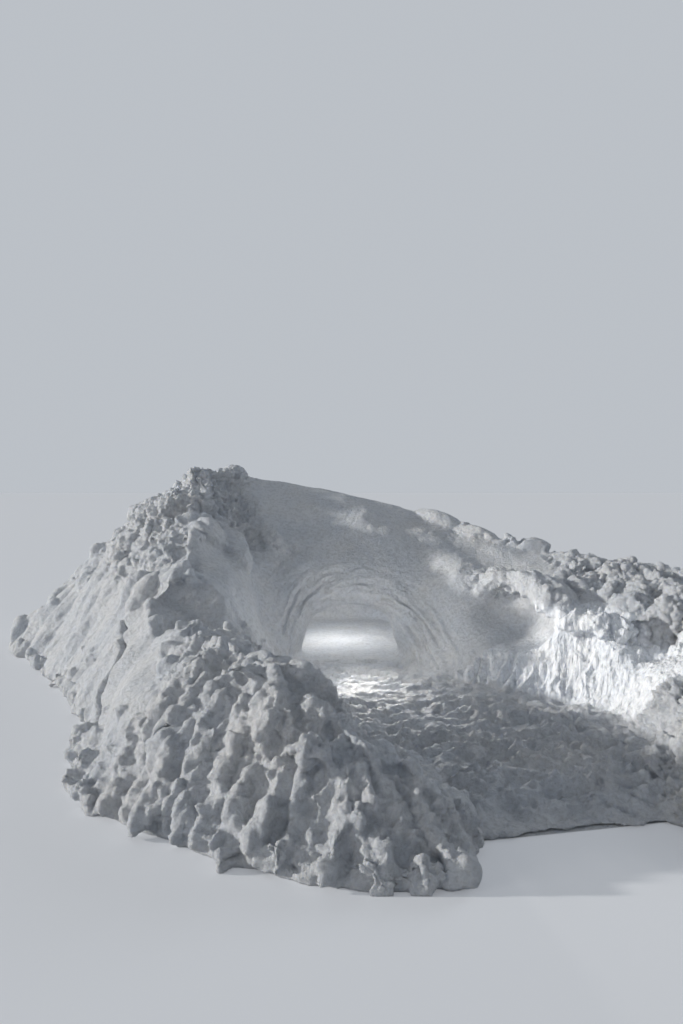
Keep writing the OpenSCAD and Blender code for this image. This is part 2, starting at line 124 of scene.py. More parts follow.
# Heights of the relief, in metres
SWELL = 0.045
CHUNK = 0.035
CREASE = 0.020
PEBBLE = 0.022
CRUMB = 0.028
HEAD = 0.068
BANK_TONGUE = 0.085
BANK_STREAK = 0.035
FLANK_TONGUE = 0.080
FLANK_WAVE = 0.034
FLANK_STREAK = 0.016
WALL_FOLD = 0.024
WALL_FEATHER = 0.017
WALL_BILLOW = 0.034
CUSP = 0.110
ARCH_STROKE = 0.050
CRACK_LIP = 0.016
CRACK_DEPTH = 0.070
TREAD = 0.115
TREAD_GRAIN = 0.016
VAULT_SWELL = 0.014
VAULT_SCOOP = 0.030
VAULT_GRAIN = 0.003
THROAT_SWELL = 0.020


def ramp(x, low, high):
    """0 at low, 1 at high, smooth between."""
    t = np.clip((x - low) / (high - low), 0, 1)
    return t * t * (3 - 2 * t)


def bump(x, middle, width):
    """1 in the middle, falling smoothly to 0 over about twice the width."""
    return np.exp(-(((x - middle) / width) ** 2))


def spot(x, y, place):
    """1 in the middle of a place on the plan, falling smoothly to 0 round it."""
    middle_x, width_x, middle_y, width_y = place
    return bump(x, middle_x, width_x) * bump(y, middle_y, width_y)


def coords(mesh):
    """Points of a mesh, one a row."""
    co = np.empty(len(mesh.vertices) * 3, np.float32)
    mesh.vertices.foreach_get("co", co)
    return co.reshape(-1, 3).astype(float)


def set_coords(mesh, co):
    mesh.vertices.foreach_set("co", co.astype(np.float32).ravel())
    mesh.update()


def edges_of(mesh):
    """The two ends of each edge."""
    ends = np.empty(len(mesh.edges) * 2, np.int32)
    mesh.edges.foreach_get("vertices", ends)
    return ends.reshape(-1, 2)


def normals_of(mesh):
    """The way out of the mesh at each of its points."""
    out = np.empty(len(mesh.vertices) * 3, np.float32)
    mesh.vertex_normals.foreach_get("vector", out)
    return out.reshape(-1, 3).astype(float)


def triangles(mesh):
    """Corners of the mesh's faces, cut into triangles."""
    mesh.calc_loop_triangles()
    tris = np.empty(len(mesh.loop_triangles) * 3, np.int32)
    mesh.loop_triangles.foreach_get("vertices", tris)
    return tris.reshape(-1, 3)


def squares(mesh):
    """Corners of the faces of a mesh that has four at each."""
    corners = np.empty(len(mesh.loops), np.int32)
    mesh.loops.foreach_get("vertex_index", corners)
    return corners.reshape(-1, 4)


def mesh_from(name, points, faces):
    """A mesh from points and an array of faces that all have the same number of corners."""
    mesh = bpy.data.meshes.new(name)
    corners = faces.shape[1]
    mesh.vertices.add(len(points))
    mesh.vertices.foreach_set("co", np.asarray(points, np.float32).ravel())
    mesh.loops.add(faces.size)
    mesh.loops.foreach_set("vertex_index", faces.astype(np.int32).ravel())
    mesh.polygons.add(len(faces))
    mesh.polygons.foreach_set("loop_start", np.arange(len(faces), dtype=np.int32) * corners)
    mesh.update(calc_edges=True)
    return mesh


def joined(name, parts):
    """One mesh from several lists of points and triangles."""
    points, faces, start = [], [], 0
    for part_points, part_faces in parts:
        points.append(part_points)
        faces.append(np.asarray(part_faces) + start)
        start += len(part_points)
    return mesh_from(name, np.concatenate(points), np.concatenate(faces))


def remeshed(mesh, voxel):
    """The same volume as one skin of even squares."""
    piece = bpy.data.objects.new("voxels", mesh)
    bpy.context.scene.collection.objects.link(piece)
    change = piece.modifiers.new("voxels", "REMESH")
    change.mode = "VOXEL"
    change.voxel_size = voxel
    change.adaptivity = 0
    graph = bpy.context.evaluated_depsgraph_get()
    made = bpy.data.meshes.new_from_object(piece.evaluated_get(graph))
    bpy.data.objects.remove(piece)
    return made


def spread(values, ends, passes, free):
    """Moves each row of values towards the mean of its neighbours; free is the share that may move."""
    count = np.maximum(np.bincount(ends.ravel(), minlength=len(values)), 1)
    for _ in range(passes):
        for axis in range(values.shape[1]):
            column = values[:, axis]
            total = np.bincount(ends[:, 0], weights=column[ends[:, 1]], minlength=len(column))
            total += np.bincount(ends[:, 1], weights=column[ends[:, 0]], minlength=len(column))
            values[:, axis] = column + (total / count - column) * 0.5 * free[axis]
    return values


def settled(co, ends, passes):
    """Rounds the skin; the underside stays level."""
    base_height = 0.012
    base = co[:, 2] < base_height
    co = spread(co, ends, passes, [1.0, 1.0, np.where(base, 0.0, 1.0)])
    co[base, 2] = 0.0
    co[:, 2] = np.maximum(co[:, 2], 0.0)
    return co


# Seeded noise on arrays of points: each cell's chance values come from a hash of its place
ARROWS = np.random.default_rng(SEED).normal(size=(256, 3))
ARROWS /= np.linalg.norm(ARROWS, axis=1)[:, None]
BYTE = len(ARROWS) - 1
CELL_PRIMES = (73856093, 19349663, 83492791)
SEED_PRIME = 2654435761
MIX_PRIME = 1274126177
LOW_BITS = 0x7FFFFFFF
# What brings the noise to about -1 to 1, and the mean of its values then, taken without their sign
NOISE_GAIN = 1.6
NOISE_MEAN = 0.27
# From one octave to the next the noise is turned, so that its cells don't line up, and made finer
TURN = np.array([[0.80, 0.60, 0.0], [-0.48, 0.64, 0.60], [0.36, -0.48, 0.80]])
OCTAVE_STEP = 2.03
BILLOW_STEP = 2.1
POOL = ThreadPoolExecutor(4)
BATCH = 16384


def in_batches(work, p):
    """Runs work on the rows of p, a batch at a time."""
    parts = [p[i:i + BATCH] for i in range(0, len(p), BATCH)]
    return np.concatenate(list(POOL.map(work, parts)))


def mixed(code):
    """Scatters the bits of whole numbers."""
    code = ((code ^ (code >> 13)) * MIX_PRIME) & LOW_BITS
    return code ^ (code >> 16)


def noise(p, seed):
    """Gradient noise between about -1 and 1."""

    def work(p):
        cell = np.floor(p).astype(np.int64)
        f = p - cell
        ease = f * f * f * (f * (f * 6 - 15) + 10)
        keys = [(cell[:, i] * prime, (cell[:, i] + 1) * prime) for i, prime in enumerate(CELL_PRIMES)]
        shares = [(1 - ease[:, i], ease[:, i]) for i in range(3)]
        offsets = [(f[:, i], f[:, i] - 1) for i in range(3)]
        total = np.zeros(len(p))
        for a, b, c in product((0, 1), repeat=3):
            arrow = ARROWS[mixed(keys[0][a] ^ keys[1][b] ^ keys[2][c] ^ (seed * SEED_PRIME)) & BYTE]
            slope = arrow[:, 0] * offsets[0][a] + arrow[:, 1] * offsets[1][b] + arrow[:, 2] * offsets[2][c]
            total += shares[0][a] * shares[1][b] * shares[2][c] * slope
        return total * NOISE_GAIN

    return in_batches(work, p)


def octaves(p, size, count, seed):
    """Noise whose largest swells are size metres across, with ever finer ones added."""
    total, strength = np.zeros(len(p)), 1.0
    q = p / size
    for step in range(count):
        total += strength * noise(q, seed + step)
        q = q @ TURN * OCTAVE_STEP
        strength *= 0.5
    return total


def three_octaves(p, size, count, seeds):
    """Noise with three parts, to bend points with."""
    return np.stack([octaves(p, size, count, seed) for seed in seeds], axis=1)


def billows(p, size, count, seed, gain=0.5):
    """Rounded heads with sharp creases between them, about -0.5 to 0.8."""
    total, strength = np.zeros(len(p)), 1.0
    q = p / size
    for step in range(count):
        total += strength * (np.abs(noise(q, seed + step)) - NOISE_MEAN)
        q = q @ TURN * BILLOW_STEP
        strength *= gain
    return total


def feathers(across, up, size, tall, count, seed):
    """Sharp upright ridges: size metres apart, about tall metres long, with ever finer ones added."""
    total, strength = np.zeros(len(across)), 1.0
    layer_gap, narrower, shorter, weaker = 7.3, 0.5, 0.62, 0.62
    for step in range(count):
        q = np.stack([across / size, up / tall, np.full(len(across), layer_gap * step)], axis=1)
        total += strength * (NOISE_MEAN - np.abs(noise(q, seed + step)))
        size, tall, strength = size * narrower, tall * shorter, strength * weaker
    return total * 2


def noise_along(across, up, seed):
    """Noise over a wall that is unrolled flat."""
    return noise(np.stack([across, up, np.zeros(len(across))], axis=1), seed)


def cells(p, size, seed):
    """Packed chunks: distance to the nearest middle, distance to the crease, a chance value per chunk."""

    def work(q):
        cell = np.floor(q).astype(np.int64)
        first, second, value = np.full(len(q), FAR), np.full(len(q), FAR), np.zeros(len(q))
        for step in product((-1, 0, 1), repeat=3):
            at = cell + np.array(step)
            keys = at * CELL_PRIMES
            code = mixed(keys[:, 0] ^ keys[:, 1] ^ keys[:, 2] ^ (seed * SEED_PRIME))
            away = np.zeros(len(q))
            for i in range(3):
                away += (q[:, i] - at[:, i] - ((code >> (8 * i)) & BYTE) / BYTE) ** 2
            away = np.sqrt(away)
            second = np.minimum(second, np.maximum(first, away))
            value = np.where(away < first, ((code >> 4) & BYTE) / BYTE, value)
            first = np.minimum(first, away)
        return np.stack([first, second - first, value], axis=1)

    return in_batches(work, p / size).T


def along_path(path, x, y):
    """Metres along a plan path of the place nearest to each point, and how far the point is off it."""
    station, off, start = np.zeros(len(x)), np.full(len(x), FAR), 0.0
    for (ax, ay), (bx, by) in zip(path, path[1:]):
        length = math.hypot(bx - ax, by - ay)
        share = np.clip(((x - ax) * (bx - ax) + (y - ay) * (by - ay)) / length**2, 0, 1)
        side = np.where((bx - ax) * (y - ay) > (by - ay) * (x - ax), 1.0, -1.0)
        away = np.hypot(x - ax - share * (bx - ax), y - ay - share * (by - ay)) * side
        nearer = np.abs(away) < np.abs(off)
        station = np.where(nearer, start + share * length, station)
        off = np.where(nearer, away, off)
        start += length
    return station, off


# The CAD solids as one mesh, and which node owns each of its triangles
cad_parts = [(coords(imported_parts[n].data), triangles(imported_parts[n].data)) for n in NODES]
owners = np.concatenate([np.full(len(tris), i) for i, (_, tris) in enumerate(cad_parts)])
cad_mesh = joined("cad", cad_parts)
cad_tree = BVHTree.FromPolygons([v.co for v in cad_mesh.vertices], [p.vertices for p in cad_mesh.polygons])

plan_x = np.arange(CAD_LOW.x - PLAN_MARGIN, CAD_HIGH.x + PLAN_MARGIN, PLAN_STEP)
plan_y = np.arange(CAD_LOW.y - PLAN_MARGIN, CAD_HIGH.y + PLAN_MARGIN, PLAN_STEP)


def height_grid():
    """Height of the CAD over the plan grid."""
    above, down = 4.0, Vector((0, 0, -1))
    grid = np.zeros((len(plan_x), len(plan_y)))
    for i, x in enumerate(plan_x):
        for j, y in enumerate(plan_y):
            hit = cad_tree.ray_cast(Vector((x, y, above)), down)[0]
            if hit is not None:
                grid[i, j] = hit.z
    return grid


def fall_grid(grid):
    """The way downhill at each point of the plan grid: near 1 long on slopes and 0 on the level."""
    level_slope = 0.05
    even = grid.copy()
    for _ in range(EVEN_PASSES):
        even[1:-1, 1:-1] = (even[:-2, 1:-1] + even[2:, 1:-1] + even[1:-1, :-2] + even[1:-1, 2:]) / 4
    way = -np.stack(np.gradient(even, PLAN_STEP), axis=-1)
    return way / (np.linalg.norm(way, axis=-1)[..., None] + level_slope)


def on_plan(grid, x, y):
    """Values of a plan grid at some points, blended between its four neighbours."""
    inset = 1.001
    u = np.clip((x - plan_x[0]) / PLAN_STEP, 0, len(plan_x) - inset)
    v = np.clip((y - plan_y[0]) / PLAN_STEP, 0, len(plan_y) - inset)
    i, j = u.astype(int), v.astype(int)
    u, v = u - i, v - j
    if grid.ndim == 3:
        u, v = u[..., None], v[..., None]
    return ((grid[i, j] * (1 - u) + grid[i + 1, j] * u) * (1 - v)
            + (grid[i, j + 1] * (1 - u) + grid[i + 1, j + 1] * u) * v)


height = height_grid()
fall = fall_grid(height)


def runs(size, reach, seed):
    """Plan grid of noise that is drawn out down the slopes, about -1 to 1."""
    x, y = [a.ravel() for a in np.meshgrid(plan_x, plan_y, indexing="ij")]
    total = np.zeros(len(x))
    steps = int(reach / PLAN_STEP)
    for way in (-1, 1):
        px, py = x.copy(), y.copy()
        for _ in range(steps):
            total += noise(np.stack([px, py, np.zeros(len(px))], axis=1) / size, seed)
            move = on_plan(fall, px, py) * way * PLAN_STEP
            px, py = px + move[:, 0], py + move[:, 1]
    total /= total.std() * 2
    return total.reshape(len(plan_x), len(plan_y))


wide_runs = runs(size=0.20, reach=0.30, seed=11)
fine_runs = runs(size=0.07, reach=0.22, seed=12)
broad_runs = runs(size=0.42, reach=0.50, seed=13)
# The mean of a run's values, taken without their sign
RUN_MEAN = 0.35


def owner_of(points):
    """The node that each point is nearest to."""
    return np.array([owners[cad_tree.find_nearest(Vector(p))[2]] for p in points])


def zones(co, ends, owner, passes):
    """Shares, from 0 to 1, of how each kind of snow shows at the points of the skin."""

    def share(*names):
        picked = [i for i, node in enumerate(NODES) if any(node.startswith(name) for name in names)]
        return np.isin(owner, picked).astype(float)

    x, y, z = co.T
    rubble_low, scraped_high = 0.62, 0.85
    right = share("right_bank", "right_rim", "buttress")
    scraped = share("buttress", "cut_wall", "scooped_wall", "right_bank_middle", "right_bank_shoulder")
    kinds = {
        "bank": share("left_bank"),
        "peak": share("peak", "left_flank"),
        "rubble": right * (z > rubble_low),
        "wall": scraped * (z < scraped_high),
        "right_tip": share("right_bank_front", "right_bank_tip"),
        "back": share("back", "right_flank"),
        "right": right,
    }
    values = spread(np.stack(list(kinds.values()), axis=1), ends, passes, free=[1.0] * len(kinds))
    out = dict(zip(kinds, values.T))
    # The right bank's outer side is shovelled like the back
    far = ramp(np.abs(along_path(WALL, x, y)[1]), 0.40, 0.75)
    out["wall"] = out["wall"] * (1 - far)
    out["back"] = np.maximum(out["back"], out["right"] * far * (1 - ramp(z, 0.55, 0.75)))
    # Vault, trodden floor, and the smooth places: arch, face, slab and shelf
    under = ramp(on_plan(height, x, y) - z, 0.16, 0.30)
    court = ramp(-z, -FLOOR_Z - 0.09, -FLOOR_Z - 0.03) * share("court", "threshold")
    reach = np.hypot(x, z - FLOOR_Z)
    rim = bump(reach, DOOR_HALF + 0.16, 0.24) * bump(y, 0.10, 0.34) * ramp(x, -0.9, -0.5)
    out["under"] = under
    out["court"] = spread(court[:, None], ends, passes=4, free=[1.0])[:, 0] * (1 - under)
    out["outside"] = (1 - out["under"]) * (1 - out["court"])
    out["rim"] = rim
    out["smooth"] = np.clip(spot(x, y, FACE) + rim, 0, 1)
    out["slab"] = spot(x + SLAB_SLANT * (y - SLAB_PIVOT), y, SLAB)
    out["slab_core"] = np.clip(out["slab"] * 1.5, 0, 1)
    out["shelf"] = np.clip(spot(x, y, SHELF) * ramp(z, 0.55, 0.70) * 1.6, 0, 1)
    return out


def carve(co, middle, radii, way):
    """Pushes what lies in an ellipsoid along way until it is outside."""
    way = np.array(way) / np.linalg.norm(way)
    p, d = (co - middle) / radii, way / radii
    inner = (p * p).sum(axis=1)
    b, a = p @ d, d @ d
    reach = (-b + np.sqrt(np.maximum(b * b - a * (inner - 1), 0))) / a
    return co + np.where(inner < 1, reach, 0)[:, None] * way


def carved_heap():
    """The CAD's volume as one rounded skin with the hollow and the shelf, lower where clods will lie."""
    skin = remeshed(cad_mesh, COARSE_VOXEL)
    ends = edges_of(skin)
    co = settled(coords(skin), ends, FACET_PASSES)
    zone = zones(co, ends, owner_of(co), passes=6)
    warp = three_octaves(co, size=0.4, count=2, seeds=(101, 103, 105)) * 0.07
    co = carve(co + warp, *HOLLOW) - warp
    co = spread(co, ends, passes=14, free=[spot(co[:, 0], co[:, 1], HOLLOW_EDGE)] * 3)
    co = carve(co + 0.5 * warp, *SHELF_CUT) - 0.5 * warp
    _, y, z = co.T
    z -= NOSE_CREST_DROP * zone["bank"] * bump(y, -1.80, 0.85) * ramp(z, 0.45, 0.85)
    z -= PEAK_DROP * ramp(z, 1.6, 2.0)
    z -= BANK_DROP * zone["bank"] * ramp(z, 0.12, 0.3) * (1 - zone["slab"])
    set_coords(skin, co)
    return skin, co, zone


def ball(levels):
    """Points and triangles of a round ball."""
    bpy.ops.mesh.primitive_ico_sphere_add(subdivisions=levels, radius=1)
    piece = bpy.context.object
    made = coords(piece.data), triangles(piece.data)
    bpy.data.objects.remove(piece)
    return made


COARSE_BALL, FINE_BALL = ball(2), ball(3)


def clod(radius, stretch, turn, angular, rng):
    """A clod about the origin: a ball cut by random planes, more so where it is angular."""
    points, faces = FINE_BALL if radius > 0.07 else COARSE_BALL
    cut_count, grazing = 11, 0.05
    cuts = rng.normal(size=(cut_count, 3))
    cuts /= np.linalg.norm(cuts, axis=1)[:, None]
    depths = rng.uniform(0.62, 0.95, cut_count)
    along = points @ cuts.T
    chunk = np.min(np.where(along > grazing, depths / np.maximum(along, grazing), FAR), axis=1)
    chunk = np.minimum(chunk, 1.15)
    wavy = 1 + 0.22 * noise(points * 1.4 + rng.uniform(0, 50, 3), 3)
    shape = chunk * angular + wavy * (1 - angular)
    return (points * shape[:, None] * radius * np.array(stretch)) @ turn.T, faces


def basis_at(normal, spin):
    """Columns: level along the slope, down the slope, out of the snow."""
    least_slope, below, before = 0.05, Vector((0, 0, -1)), Vector((0, -1, 0))
    up = Vector(normal).normalized()
    down = below - up * up.dot(below)
    if down.length < least_slope:
        down = before - up * up.dot(before)
    down.normalize()
    side = up.cross(down)
    turn = Matrix((side, down, up)).transposed()
    return np.array(turn) @ np.array(Matrix.Rotation(spin, 3, "Z"))


def strewn(co, normals, rng, weight, count, radius, long, flat, proud, angular, skew=2.0):
    """Clods at random places of the skin. Each pair of numbers is the least and the most: radius in
    metres, length down the slope and thickness as shares of it, and how proud they lie."""
    weight = weight * (normals[:, 2] > -0.2) * (co[:, 2] > 0.02)
    share = np.cumsum(weight / weight.sum())
    low, high = radius
    made = []
    for _ in range(count):
        i = min(int(np.searchsorted(share, rng.random())), len(co) - 1)
        size = low + (high - low) * rng.random() ** skew
        turn = basis_at(normals[i], rng.uniform(-0.4, 0.4))
        stretch = (rng.uniform(0.85, 1.15), rng.uniform(*long), rng.uniform(*flat))
        points, faces = clod(size, stretch, turn, rng.uniform(*angular), rng)
        made.append((points + co[i] + normals[i] * size * rng.uniform(*proud), faces))
    return made


def strung(rng, path, count, radius, stretch, angular, jitter):
    """Clods strung along a path; the stretch is along the path, across it and upwards."""
    path = np.array(path, float)
    ways = np.concatenate([[0], np.cumsum(np.linalg.norm(np.diff(path, axis=0), axis=1))])

    def place(way):
        return np.array([np.interp(way, ways, path[:, axis]) for axis in range(3)])

    glance = 0.02
    made = []
    for step in range(count):
        way = ways[-1] * (step + 0.5) / count
        ahead, behind = place(min(way + glance, ways[-1])), place(max(way - glance, 0))
        along = Vector(ahead - behind).normalized()
        side = Vector((0, 0, 1)).cross(along).normalized()
        turn = np.array(Matrix((along, side, along.cross(side))).transposed())
        size = radius * rng.uniform(0.8, 1.2)
        points, faces = clod(size, np.array(stretch) * rng.uniform(0.85, 1.15, 3), turn, angular, rng)
        made.append((points + place(way) + rng.uniform(-jitter, jitter, 3), faces))
    return made


def lumps(skin, co, zone):
    """The heap and all that is laid on it, as lists of points and triangles."""
    rng = np.random.default_rng(SEED)
    lay = partial(strewn, co, normals_of(skin), rng)
    string = partial(strung, rng)
    x, y, z = co.T
    clear, slab, lumpy = zone["outside"], zone["slab_core"], (1 - zone["smooth"]) ** 3
    patches = octaves(co, size=0.55, count=2, seed=21)
    parts = [(co, triangles(skin))]

    # Long lumps that slid down the left bank, its round clods, and crumbs
    bank = zone["bank"] * (1 - slab) * clear * (1 - zone["shelf"])
    crumbed = bank + 0.04 * clear * zone["peak"] * (1 - slab)
    parts += lay(bank * (z > 0.12), count=120, radius=(0.050, 0.09), long=(1.6, 3.2), flat=(0.7, 1.0),
                 proud=(-0.15, 0.3), angular=(0.2, 0.6), skew=1.3)
    parts += lay(bank * (z > 0.10), count=170, radius=(0.035, 0.085), long=(1.0, 1.5), flat=(0.8, 1.0),
                 proud=(-0.1, 0.5), angular=(0.4, 0.9))
    parts += lay(crumbed, count=420, radius=(0.018, 0.04), long=(1.0, 1.4), flat=(0.8, 1.0),
                 proud=(0.0, 0.6), angular=(0.3, 0.9))

    # Rocky rubble on the peak
    ridge = spot(x, y, PEAK_RIDGE) * ramp(z, 0.6, 1.0)
    peak = ridge * ramp(patches, -0.25, 0.2) * clear * lumpy * ramp(-x, 0.9, 1.3)
    parts += lay(peak, count=70, radius=(0.10, 0.20), long=(1.0, 1.7), flat=(0.6, 0.9),
                 proud=(-0.4, 0.1), angular=(0.6, 1.0), skew=1.2)
    parts += lay(peak, count=110, radius=(0.04, 0.09), long=(1.0, 1.4), flat=(0.7, 1.0),
                 proud=(-0.1, 0.4), angular=(0.85, 1.0), skew=1.2)
    parts += lay(peak, count=460, radius=(0.016, 0.040), long=(1.0, 1.3), flat=(0.7, 1.0),
                 proud=(0.0, 0.7), angular=(0.8, 1.0))

    # Rocky rubble behind the right wall
    rubble = np.clip(zone["rubble"] + zone["right_tip"], 0, 1) * ramp(patches, -0.5, 0.1) * clear
    parts += lay(rubble, count=75, radius=(0.09, 0.18), long=(0.9, 1.5), flat=(0.6, 0.9),
                 proud=(-0.35, 0.2), angular=(0.95, 1.0), skew=1.3)
    parts += lay(rubble, count=110, radius=(0.04, 0.10), long=(0.9, 1.4), flat=(0.7, 1.0),
                 proud=(-0.25, 0.35), angular=(0.9, 1.0), skew=1.4)
    parts += lay(rubble, count=420, radius=(0.018, 0.045), long=(1.0, 1.3), flat=(0.7, 1.0),
                 proud=(0.0, 0.7), angular=(0.8, 1.0))

    # The small crest on the mound's face
    sunk = 0.02
    crest_x, crest_y = np.array(CREST).T
    crest = np.stack([crest_x, crest_y, on_plan(height, crest_x, crest_y) - sunk], axis=1)
    parts += string(crest[:3], count=3, radius=0.14, stretch=(1.5, 0.8, 0.55), angular=1.0, jitter=0.02)
    parts += string(crest[2:], count=4, radius=0.12, stretch=(1.3, 1.0, 0.7), angular=1.0, jitter=0.03)
    parts += string(crest, count=24, radius=0.04, stretch=(1.1, 1.0, 0.9), angular=1.0, jitter=0.10)

    # The back and the flanks, as shovelled
    back = (zone["back"] + zone["peak"] * 0.6) * ramp(patches, -0.4, 0.4) * clear * lumpy * (1 - 0.8 * ridge)
    back = back * (1 - slab) * (1 - 0.92 * spot(x, y, PLAIN_FLANK))
    off_the_face = 1 - bump(y, 1.5, 0.6) * ramp(x, -1.4, -1.0)
    parts += lay(back * off_the_face, count=290, radius=(0.05, 0.14), long=(1.0, 2.0), flat=(0.5, 0.8),
                 proud=(-0.45, 0.1), angular=(0.3, 0.9))
    parts += lay(back, count=380, radius=(0.02, 0.045), long=(1.0, 1.4), flat=(0.7, 1.0),
                 proud=(-0.1, 0.5), angular=(0.3, 0.9))

    # The lip over the hollow and the head of the buttress beside it
    parts += string(LIP, count=7, radius=0.15, stretch=(1.4, 1.0, 0.75), angular=0.7, jitter=0.03)
    parts += string(LIP, count=30, radius=0.04, stretch=(1.1, 1.0, 0.9), angular=1.0, jitter=0.12)
    parts += string(BUTTRESS_HEAD, count=6, radius=0.10, stretch=(1.2, 1.1, 0.8), angular=0.9, jitter=0.04)
    parts += string(BUTTRESS_HEAD, count=18, radius=0.04, stretch=(1.1, 1.0, 0.9), angular=1.0, jitter=0.09)

    # The big round clod on the left bank
    points, faces = clod(radius=0.115, stretch=(1.1, 1.0, 0.85), turn=np.eye(3), angular=0.15, rng=rng)
    parts.append((points + BIG_CLOD, faces))

    # Crumbs that rolled to the foot
    foot = bump(z, 0.05, 0.05) * clear * (0.3 + zone["bank"] + 0.5 * zone["right_tip"])
    foot *= ramp(octaves(co, size=0.5, count=2, seed=23), -0.4, 0.3)
    parts += lay(foot, count=520, radius=(0.02, 0.075), long=(0.9, 1.2), flat=(0.8, 1.0),
                 proud=(0.1, 1.1), angular=(0.4, 1.0), skew=2.5)
    return parts


def fine_skin(parts):
    """One fine skin of all the lumps, without the inner part of its underside."""
    almost_level, rings_kept = 0.006, 5
    whole = remeshed(joined("lumps", parts), FINE_VOXEL)
    co, ends, quads = coords(whole), edges_of(whole), squares(whole)
    co[:, 2] = np.where(co[:, 2] < almost_level, 0, co[:, 2])
    kept = co[:, 2] > GROUND
    for _ in range(rings_kept):
        grown = kept.copy()
        grown[ends[kept[ends[:, 0]], 1]] = True
        grown[ends[kept[ends[:, 1]], 0]] = True
        kept = grown
    quads = quads[kept[quads].any(axis=1)]
    used, inverse = np.unique(quads.ravel(), return_inverse=True)
    return mesh_from("skin", co[used], inverse.reshape(-1, 4))


def drifted(co, ends, zone, front):
    """Sways the skin in plan, which also moves its foot, levels the mouth and softens the left bank."""
    outside, court = zone["outside"], zone["court"]
    outside_sway, court_sway, mouth_height = 0.03, 0.06, 0.015
    flat = co * [1, 1, 0.5]
    sway = np.stack([octaves(flat, size=0.35, count=3, seed=seed) for seed in (31, 41)], axis=1)
    drift = outside_sway * outside * (1 - zone["wall"]) * (1 - zone["rim"])
    drift += court_sway * court * (1 - ramp(front, 0, 0.3))
    co[:, :2] += sway * drift[:, None]
    z = co[:, 2]
    z -= (z - mouth_height) * (1 - ramp(front, -0.05, 0.38)) * ramp(court, 0.3, 0.9)
    soft = zone["bank"] * outside
    return spread(co, ends, passes=3, free=[soft, soft, np.where(z > 0.03, soft, 0.0)])


def rough_shares(co, zone, patches):
    """How rough the snow is, and how much of it is the rocky rubble of the peak and the right bank."""
    x, y, z = co.T
    band = np.clip(spot(x, y, PEAK_BAND) * ramp(z, 0.7, 1.1) * 1.4, 0, 1)
    rough = zone["bank"] + zone["peak"] * (0.14 + 0.86 * band) + zone["rubble"] + zone["right_tip"]
    rough += zone["back"] * (0.2 + 0.4 * patches) + 0.5 * zone["wall"] * ramp(x, 1.7, 2.1) * ramp(z, 0.3, 0.6)
    rough = np.clip(rough, 0, 1) * (1 - 0.85 * zone["smooth"]) * (1 - 0.9 * zone["slab_core"])
    rough *= 1 - 0.8 * zone["shelf"]
    lip = bump(along_path([p[:2] for p in LIP], x, y)[1], 0, 0.16) * ramp(z, 0.74, 0.86)
    rough = np.maximum(rough, 0.8 * lip)
    rocky = rough * np.clip(zone["peak"] * band + zone["rubble"] + 0.6 * zone["right_tip"], 0, 1)
    return rough, rocky


def loose_relief(co, zone, warp, rough, rocky):
    """Swells, packed chunks, pebbles and rounded heads of loose snow."""
    bent = co + 0.03 * warp
    varied = 0.7 + 0.3 * ramp(octaves(co, size=0.45, count=2, seed=27), -0.4, 0.3)
    _, crease, chance = cells(bent, size=0.12, seed=51)
    shift = SWELL * octaves(co, size=0.45, count=3, seed=61) * (0.2 + 0.8 * rough)
    shift += (CHUNK * (chance - 0.5) - CREASE * (1 - ramp(crease, 0, 0.22))) * rocky
    shift += PEBBLE * (0.5 - cells(co + 0.02 * warp, size=0.075, seed=55)[0]) * rough
    shift += CRUMB * (0.45 - cells(co + 0.01 * warp, size=0.052, seed=57)[0]) * zone["bank"] * rough
    heads = (0.10 + 0.90 * rough * varied) * (1 - 0.45 * zone["rubble"]) * (1 - 0.30 * zone["bank"])
    return shift + HEAD * billows(bent, size=0.13, count=4, seed=62, gain=0.58) * heads


def slope_relief(co, zone):
    """Tongues and streaks that ran down the left bank and the flanks."""
    x, y, _ = co.T
    wide, fine, broad = on_plan(wide_runs, x, y), on_plan(fine_runs, x, y), on_plan(broad_runs, x, y)
    bank = zone["bank"] * (1 - zone["slab_core"]) * (1 - zone["shelf"])
    flank = zone["peak"] * (1 - zone["bank"]) * (1 - zone["slab_core"]) * (1 - zone["smooth"])
    on_bank = BANK_TONGUE * (np.abs(wide) - RUN_MEAN) + BANK_STREAK * (np.abs(fine) - RUN_MEAN)
    on_flank = FLANK_WAVE * wide + FLANK_STREAK * fine + FLANK_TONGUE * (np.abs(broad) - RUN_MEAN)
    return on_bank * bank + on_flank * flank


def wall_relief(co, zone, warp, rough):
    """Feathery ridges that fan out downwards, and sharp cusps at the foot between the shovel's cuts."""
    x, y, z = co.T
    station, _ = along_path(WALL, x, y)
    across = station + 0.06 * octaves(co, size=0.25, count=3, seed=121)
    across += 0.35 * (z - 0.4) * ramp(station, 1.2, 2.2)
    bowl = bump(station, 0.85, 0.42) * ramp(z, 0.42, 0.52)
    comb = zone["wall"] * (1 - 0.85 * bowl) * ramp(station, 0.1, 0.6)
    broken = 0.35 + 0.65 * ramp(octaves(co, size=0.28, count=2, seed=127), -0.3, 0.4)
    folds = WALL_FOLD * feathers(across, z, size=0.16, tall=0.9, count=1, seed=129)
    folds += WALL_FEATHER * feathers(across, z, size=0.085, tall=0.4, count=3, seed=131)
    soft = billows(co + 0.03 * warp, size=0.15, count=3, seed=137, gain=0.45)
    shift = (folds * broken + WALL_BILLOW * soft * (1 - 0.6 * rough)) * comb
    foot, below = 0.06, 0 * z
    tip = 0.36 + 0.16 * noise_along(across / 0.13, below, 141)
    narrow = np.clip((z - foot) / (tip - foot), 0, 1)
    valley = np.abs(noise_along(across / 0.14, 0.2 * z, 143))
    cusps = np.clip(1 - valley * (3.2 + 7 * narrow**2), 0, 1) * (1 - narrow) ** 0.5 * ramp(z, 0.05, 0.14)
    return shift + CUSP * cusps * bump(station, 0.95, 0.6) * ramp(zone["wall"], 0.1, 0.5)


